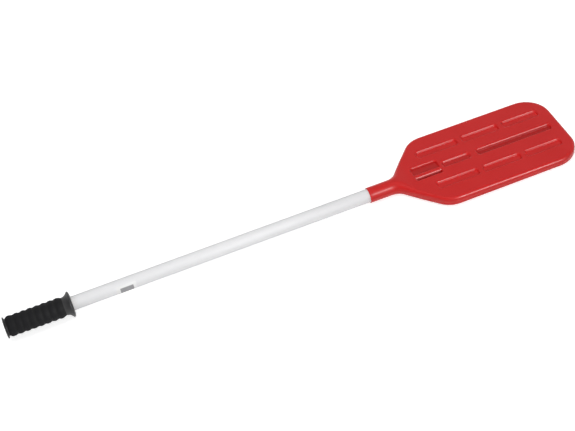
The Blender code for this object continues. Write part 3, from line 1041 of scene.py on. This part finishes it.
    def make_grooves(self) -> Piece:
        """Model the space of the grooves and of the pocket on both faces.

        Returns:
            One object that holds every space.
        """
        shapes = [self.make_recess(groove) for groove in self.grooves()]
        pocket = self.make_recess(self.pocket)
        Bench.subtract(pocket, self.make_ridge())
        spaces = Bench.join(shapes + [pocket])
        Bench.modify(spaces, "MIRROR", use_axis=(False, False, True), use_mirror_merge=False)
        Bench.close_normals(spaces)
        return spaces

    def ridge_section(self) -> Profile:
        """List the pocket's bottom as (across, height): a flat floor, then a slope up to a rounded ridge.

        Returns:
            The section's corners, each measured from the face.
        """
        far, deep, toe = 0.026, -0.0095, 0.0030
        rise = math.atan2(self.valley_depth - self.ridge_depth, self.valley_across - self.ridge_across)
        fall = math.atan2(-deep - self.ridge_depth, self.ridge_across - self.ridge_foot)
        points = [(far, deep), (far, -self.valley_depth), (self.valley_across, -self.valley_depth)]
        steps = 10
        for index in range(steps + 1):
            lean = rise - (rise + fall) * index / steps
            points.append((self.ridge_across + self.ridge_radius * math.sin(lean),
                           self.ridge_radius * (math.cos(lean) - 1.0) - self.ridge_depth))
        points.append((self.ridge_foot - toe, deep))
        return points

    def make_ridge(self) -> Piece:
        """Model the body that stays in the pocket by drawing its section and pulling it along the blade.

        Returns:
            The closed body.
        """
        overlap = 0.012
        start = station(self.pocket.span[0] - overlap)
        run = 2.0 * (self.pocket.half_length + overlap)
        level = self.half_thickness(self.pocket.middle)
        chain = [(start, across, level + height) for across, height in self.ridge_section()]
        ridge = Bench.draw_chain("pocket_ridge", chain, closed=True)
        with Bench.editing(ridge, "EDGE"):
            bpy.ops.mesh.edge_face_add()
            Bench.extrude((run, 0.0, 0.0))
        Bench.close_normals(ridge)
        return ridge

    def make_posts(self) -> Piece:
        """Model the solid posts that the pressed recesses leave inside the hollow.

        Returns:
            One object that holds every post.
        """
        shapes = []
        reach = self.wall + self.post_margin
        half_height = 0.02
        for recess in (*self.grooves(), self.pocket):
            Bench.clear()
            centre = (station(recess.middle), recess.across, 0.0)
            bpy.ops.mesh.primitive_cube_add(size=2.0, location=centre)
            post = Bench.settle("post")
            size = (recess.half_length + reach, recess.half_width + reach, half_height)
            with Bench.editing(post, "EDGE"):
                bpy.ops.transform.resize(value=size, center_override=centre)
                Bench.select_where(post, lambda co: abs(co.z) < half_height / 2.0, "edges")
                bpy.ops.mesh.bevel(offset=recess.corner, segments=4, affect="EDGES")
            shapes.append(post)
        return Bench.join(shapes)

    def make_socket(self) -> Piece:
        """Model the socket for the tube and the passage from it into the hollow.

        Returns:
            The closed space.
        """
        lead = 0.012
        profile = [(self.mouth - lead, 0.0), (self.mouth - lead, self.socket_radius + self.mouth_round),
                   (self.mouth, self.socket_radius + self.mouth_round),
                   (self.mouth + self.mouth_round, self.socket_radius), (self.socket_end, self.socket_radius),
                   (self.socket_end, self.passage_radius), (self.cavity_start + lead, self.passage_radius),
                   (self.cavity_start + lead, 0.0)]
        return Bench.turn("socket", profile, closed=False)

    def round_mouth(self, obj: Piece) -> None:
        """Round the outer edge of the neck's mouth.

        Args:
            obj: The shell.
        """
        edge, near = station(self.mouth), 0.0001
        inside = self.neck_radius - 0.00035
        with Bench.editing(obj, "EDGE"):
            Bench.select_where(
                obj, lambda co: abs(co.x - edge) < near and math.hypot(co.y, co.z) > inside, "edges")
            bpy.ops.mesh.bevel(offset=self.mouth_round, segments=3, affect="EDGES")

    def build(self, material: Material) -> None:
        """Model the shell and dress it.

        Args:
            material: The finish's material.
        """
        shell = self.make_body("blade_moulding")
        Bench.subtract(shell, self.make_grooves())
        hollow = self.make_body("hollow", self.wall, self.cavity_start)
        Bench.subtract(hollow, self.make_posts())
        Bench.subtract(shell, hollow)
        Bench.subtract(shell, self.make_socket())
        self.round_mouth(shell)
        Bench.close_normals(shell)
        Bench.shade(shell)
        faces = [Vector((math.sin(self.taper()), 0.0, side * math.cos(self.taper()))) for side in (1.0, -1.0)]
        Bench.hold_flat(shell, faces, self.flat_degrees)
        Bench.hand_over(shell, Slot.BLADE, material, "blade_shell")


@dataclass
class ShaftTube:
    """Straight round tube from inside the grip to inside the neck."""

    radius: float = 0.0127
    wall: float = 0.0020
    start: float = 0.0048
    end: float = 0.7240
    edge_round: float = 0.0005

    def build(self, material: Material) -> None:
        """Turn the tube with rounded ends and dress it.

        Args:
            material: The finish's material.
        """
        bore = self.radius - self.wall
        profile = [(self.start, bore), (self.start, self.radius - self.edge_round),
                   (self.start + self.edge_round, self.radius), (self.end - self.edge_round, self.radius),
                   (self.end, self.radius - self.edge_round), (self.end, bore)]
        tube = Bench.turn("coated_tube", profile)
        Bench.shade(tube)
        Bench.hand_over(tube, Slot.TUBE, material, "shaft_tube")


@dataclass
class RibbedGrip:
    """Rubber sleeve with rounded ribs between a small butt flange and a wide flared one."""

    bore: float = 0.0130
    butt_wall: float = 0.0045
    butt_radius: float = 0.0196
    butt_thickness: float = 0.0026
    notch_radius: float = 0.0162
    ribs: int = 8
    pitch: float = 0.0121
    first_rib: float = 0.0062
    butt_notch_radius: float = 0.0152
    crest: float = 0.0186
    valley: float = 0.0172
    flange_radius: float = 0.0236
    flange_along: float = 0.1172
    front: float = 0.1212
    butt_edge: tuple = ((0.0, -0.0012), (0.0003, -0.0004), (0.0008, 0.0), (0.0014, -0.0001),
                        (0.0022, -0.0009))
    butt_foot: tuple = ((0.0, 0.0014), (0.0006, 0.0002), (0.0016, 0.0))
    flare_foot: Pair = (0.0008, 0.0002)
    flare_gap: float = 0.0018
    flare_power: float = 2.4
    flange_edge: tuple = ((0.0007, -0.0001), (0.0012, -0.0006))
    bore_edge: tuple = ((0.0, 0.0008), (-0.0004, 0.0001), (-0.0012, 0.0))
    first_rib_power: int = 12
    rib_power: int = 3
    crease: float = 60.0

    @staticmethod
    def around(along: float, radius: float, steps: tuple) -> Profile:
        """List the points that lie the given steps off a place."""
        return [(along + step, radius + rise) for step, rise in steps]

    def profile(self) -> Profile:
        """List the outside from the butt to the front flange, then the blind bore.

        Returns:
            Pairs of distance from the butt and radius.
        """
        points = [(0.0, 0.0)] + self.around(0.0, self.butt_radius, self.butt_edge)
        points += self.around(self.butt_thickness, self.butt_notch_radius, self.butt_foot)
        rib_steps, flare_steps, dome_steps = 12, 12, 6
        for index in range(self.ribs * rib_steps + 1):
            power = self.first_rib_power if index < rib_steps / 2 else self.rib_power
            share = 1.0 - abs(math.cos(math.pi * index / rib_steps)) ** power
            along = self.first_rib + self.pitch * index / rib_steps
            points.append((along, self.valley + (self.crest - self.valley) * share))
        ribs_end = self.first_rib + self.pitch * self.ribs
        points += self.around(ribs_end, self.notch_radius, (self.flare_foot,))
        flare_start = ribs_end + self.flare_gap
        for index in range(flare_steps + 1):
            share = index / flare_steps
            rise = (self.flange_radius - self.notch_radius) * share ** self.flare_power
            points.append((flare_start + (self.flange_along - flare_start) * share, self.notch_radius + rise))
        points += self.around(self.flange_along, self.flange_radius, self.flange_edge)
        mouth = self.around(self.front, self.bore, self.bore_edge)
        (along, radius), (front, end_radius) = points[-1], mouth[0]
        for index in range(1, dome_steps):
            angle = QUARTER * index / dome_steps
            points.append((along + (front - along) * math.sin(angle),
                           radius - (radius - end_radius) * (1.0 - math.cos(angle))))
        return points + mouth + [(self.butt_wall, self.bore), (self.butt_wall, 0.0)]

    def build(self, material: Material) -> None:
        """Turn the sleeve and dress it.

        Args:
            material: The finish's material.
        """
        grip = Bench.turn("ribbed_sleeve", self.profile(), closed=False)
        Bench.shade(grip, self.crease)
        Bench.hand_over(grip, Slot.GRIP, material, "grip_sleeve")


@dataclass
class TubeSticker:
    """Blank paper sticker that follows the side of the tube."""

    span: Pair = (0.1995, 0.2355)
    radius: float = 0.01275
    thickness: float = 0.00012
    angle: float = math.radians(92.0)
    steps: int = 24

    def build(self, material: Material) -> None:
        """Spin a line round the tube's side, give it thickness and dress it.

        Args:
            material: The finish's material.
        """
        start = self.angle / 2.0 - math.pi
        side = (self.radius * math.cos(start), self.radius * math.sin(start))
        ends = [(station(along), *side) for along in self.span]
        sticker = Bench.draw_chain("tube_sticker", ends, closed=False)
        Bench.spin(sticker, self.steps, self.angle)
        Bench.modify(sticker, "SOLIDIFY", thickness=self.thickness, offset=1.0)
        Bench.close_normals(sticker)
        Bench.shade(sticker)
        Bench.hand_over(sticker, Slot.LABEL, material, "label_sticker")


@dataclass
class NeckRivet:
    """Blind rivet through the neck's far side, with a domed head."""

    along: float = 0.7020
    seat: float = 0.01465
    head_radius: float = 0.0040
    head_height: float = 0.0009
    pit_radius: float = 0.0011
    shank_radius: float = 0.0020
    tail_start: float = 0.0077
    tail_end: float = 0.0099
    tail_radius: float = 0.0028
    tail_tip_radius: float = 0.00196
    pit_edge_height: float = 0.000495
    pit_floor_height: float = 0.00045
    pit_floor_radius: float = 0.00088
    round_steps: int = 32
    crease: float = 40.0

    def profile(self) -> Profile:
        """List the rivet from its tail to the pit in its head.

        Returns:
            Pairs of distance from the tube's axis and radius.
        """
        points = [(self.tail_start, 0.0), (self.tail_start, self.tail_tip_radius),
                  (self.tail_end, self.tail_radius), (self.tail_end, self.shank_radius),
                  (self.seat, self.shank_radius), (self.seat, self.head_radius)]
        steps = 8
        for index in range(1, steps + 1):
            angle = QUARTER * index / steps
            radius = self.pit_radius + (self.head_radius - self.pit_radius) * math.cos(angle)
            points.append((self.seat + self.head_height * math.sin(angle), radius))
        return points + [(self.seat + self.pit_edge_height, self.pit_floor_radius),
                         (self.seat + self.pit_floor_height, 0.0)]

    def build(self, material: Material) -> None:
        """Turn the rivet about +Y and dress it.

        Args:
            material: The finish's material.
        """
        middle = station(self.along)
        chain = [(middle + radius, height, 0.0) for height, radius in self.profile()]
        rivet = Bench.draw_chain("domed_rivet", chain, closed=False)
        Bench.spin(rivet, self.round_steps, centre=(middle, 0.0, 0.0), axis=(0.0, 1.0, 0.0))
        Bench.close_normals(rivet)
        Bench.shade(rivet, self.crease)
        Bench.hand_over(rivet, Slot.RIVET, material, "neck_rivet")


@dataclass
class HiddenParts:
    """Parts inside the stick that keep their CAD shapes."""

    shot_count: int = 10

    def build(self, stopper: Material, steel: Material) -> None:
        """Dress the stopper and every ball.

        Args:
            stopper: The stopper's material.
            steel: The balls' material.
        """
        self.dress("neck_stopper", stopper)
        for number in range(1, self.shot_count + 1):
            self.dress(f"shot_ball_{number:02d}", steel)

    @staticmethod
    def dress(name: str, material: Material) -> None:
        """Put a material on one CAD node.

        Args:
            name: Name of the node.
            material: The material.
        """
        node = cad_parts[name]
        node.data.materials.clear()
        node.data.materials.append(material)
        log.info("%s keeps its CAD shape", name)


class LampTask(Enum):
    """What a lamp is for: even light on the surfaces, or the soft highlights on their rounded edges."""

    SHADE = "shade"
    GLOSS = "gloss"


@dataclass(frozen=True)
class Lamp:
    """One soft lamp, seen from the middle of the stick in a direction at a distance."""

    name: str
    task: LampTask
    direction: Point
    distance: float
    size: Pair
    power: float


@dataclass
class Studio:
    """Pale floor that the stick lies on, two shading lamps, a gloss box and an even white surround."""

    floor_size: float = 12.0
    floor_contact: Point = (-0.4158, 0.0, -0.0236)
    floor_second: Point = (0.1945, 0.0, -0.01435)
    floor_colour: Colour = (0.80, 0.80, 0.80)
    floor_rough: float = 0.9
    floor_glow: float = 0.62
    surround: float = 0.24
    white: tuple = (1.0, 1.0, 1.0, 1.0)
    lamps: tuple = (Lamp("soft_overhead", LampTask.SHADE, (-0.12, 0.10, 0.97), 2.6, (1.8, 1.8), 35.5),
                    Lamp("front_fill", LampTask.SHADE, (0.0, -0.80, 0.55), 3.0, (1.6, 1.6), 49.0),
                    Lamp("gloss_box", LampTask.GLOSS, (1.70, -3.08, 2.0), 4.045, (1.05, 1.1), 205.0))

    def make_floor(self) -> None:
        """Lay the floor under the flange and the neck, so that the stick rests on both."""
        first, second = Vector(self.floor_contact), Vector(self.floor_second)
        tilt = math.atan2(second.z - first.z, second.x - first.x)
        Bench.clear()
        bpy.ops.mesh.primitive_plane_add(size=self.floor_size, location=(first + second) / 2.0,
                                         rotation=(0.0, -tilt, 0.0))
        floor = bpy.context.object
        floor.name = "studio_floor"
        material, shader, surface = new_material("floor_white")
        glow = shader.multiply(shader.seen_by("Is Camera Ray", "Is Glossy Ray"), self.floor_glow)
        shader.feed(surface, {"Base Color": (*self.floor_colour, 1.0), "Roughness": self.floor_rough,
                              "Specular IOR Level": 0.0, "Emission Color": self.white,
                              "Emission Strength": glow})
        floor.data.materials.append(material)

    def make_surround(self) -> None:
        """Give an even surround, seen as plain white by the camera, in reflections and through glass."""
        world = bpy.data.worlds.new("studio_surround")
        bpy.context.scene.world = world
        world.use_nodes = True
        world.node_tree.nodes.clear()
        shader = Shader(world.node_tree)
        seen = shader.seen_by("Is Camera Ray", "Is Glossy Ray", "Is Transmission Ray")
        strength = shader.span(seen, 0.0, 1.0, self.surround, 1.0)
        light = shader.node("ShaderNodeBackground", {"Color": self.white, "Strength": strength})
        shader.node("ShaderNodeOutputWorld", {"Surface": light.outputs["Background"]})

    def hang(self, lamp: Lamp) -> None:
        """Hang one lamp; a shading lamp turns to the stick, and the gloss box only leans to it.

        Args:
            lamp: The lamp.
        """
        data = bpy.data.lights.new(lamp.name, "AREA")
        data.shape = "RECTANGLE"
        data.size, data.size_y = lamp.size
        data.energy = lamp.power
        direction = Vector(lamp.direction).normalized()
        holder = bpy.data.objects.new(lamp.name, data)
        holder.location = direction * lamp.distance
        if lamp.task is LampTask.SHADE:
            holder.rotation_euler = (-direction).to_track_quat("-Z", "Y").to_euler()
        else:
            holder.rotation_euler = (math.atan2(-direction.y, direction.z), 0.0, 0.0)
        holder.visible_camera = False
        holder.visible_diffuse = lamp.task is LampTask.SHADE
        holder.visible_glossy = lamp.task is LampTask.GLOSS
        bpy.context.scene.collection.objects.link(holder)

    def build(self) -> None:
        """Set up floor, surround, lamps and view transform."""
        self.make_floor()
        self.make_surround()
        for lamp in self.lamps:
            self.hang(lamp)
        bpy.context.scene.view_settings.view_transform = "Standard"
        log.info("studio ready")


@dataclass
class PhotoCamera:
    """Camera at the photograph's angle."""

    place: Point = (-0.3859, -1.6017, 1.6314)
    aim: Point = (-0.0021, 0.0224, 0.0)
    roll: float = math.radians(10.6)
    lens: float = 81.46
    sensor: float = 36.0
    clip: Pair = (0.05, 50.0)

    def build(self) -> None:
        """Make the camera and set it as the scene's."""
        data = bpy.data.cameras.new("photo_camera")
        data.sensor_fit = "HORIZONTAL"
        data.sensor_width = self.sensor
        data.lens = self.lens
        data.clip_start, data.clip_end = self.clip
        camera = bpy.data.objects.new("photo_camera", data)
        place = Vector(self.place)
        view = (Vector(self.aim) - place).normalized()
        upright = (Vector((0.0, 0.0, 1.0)) - view * view.z).normalized()
        right = view.cross(upright)
        up = upright * math.cos(self.roll) + right * math.sin(self.roll)
        right = view.cross(up)
        camera.matrix_world = Matrix.Translation(place) @ Matrix((right, up, -view)).transposed().to_4x4()
        bpy.context.scene.collection.objects.link(camera)
        bpy.context.scene.camera = camera


@dataclass
class Finishes:
    """Every finish of the stick."""

    effects: Effects = field(default_factory=Effects)
    red: Finish = BlowMouldedPlastic(Slot.BLADE, (0.53, 0.0115, 0.0108), (0.51, 0.0105, 0.0098), 0.31, 0.37,
                                     specular=0.25, bump_strength=0.3)
    white: Finish = CoatedTube(Slot.TUBE, (0.77, 0.77, 0.78), (0.75, 0.75, 0.76), 0.48, 0.60,
                               stretch=0.15, patch_scale=60.0, specular=0.25, bump_strength=0.2)
    black: Finish = GripRubber(Slot.GRIP, (0.008, 0.008, 0.009), (0.010, 0.010, 0.011), 0.66, 0.82,
                               specular=0.12, grain_scale=1400.0, bump_distance=0.00006)
    paper: Finish = StickerPaper(Slot.LABEL, (0.79, 0.79, 0.79), (0.76, 0.76, 0.75), 0.45, 0.60,
                                 specular=0.25, grain_scale=2500.0, bump_strength=0.15)
    natural: Finish = Finish(Slot.STOPPER, (0.70, 0.69, 0.64), (0.62, 0.61, 0.56), 0.45, 0.60)
    alloy: Finish = Finish(Slot.RIVET, (0.72, 0.72, 0.73), (0.62, 0.62, 0.63), 0.28, 0.42,
                           metallic=1.0, speck_scale=2400.0, grain_scale=2400.0, bump_strength=0.2)
    steel: Finish = Finish(Slot.SHOT, (0.62, 0.62, 0.64), (0.54, 0.54, 0.56), 0.20, 0.32, metallic=1.0,
                           speck_scale=2400.0, bump_strength=0.1)


def main() -> None:
    """Build the camera, the stick and the studio."""
    logging.basicConfig(level=logging.INFO, format="%(name)s %(message)s")
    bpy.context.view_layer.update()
    PhotoCamera().build()
    finishes = Finishes()
    effects = finishes.effects
    BladeShell().build(finishes.red.build(effects))
    ShaftTube().build(finishes.white.build(effects))
    RibbedGrip().build(finishes.black.build(effects))
    TubeSticker().build(finishes.paper.build(effects))
    NeckRivet().build(finishes.alloy.build(effects))
    HiddenParts().build(finishes.natural.build(effects), finishes.steel.build(effects))
    Studio().build()
    Bench.clear()
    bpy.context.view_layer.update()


if __name__ == "__main__":
    main()
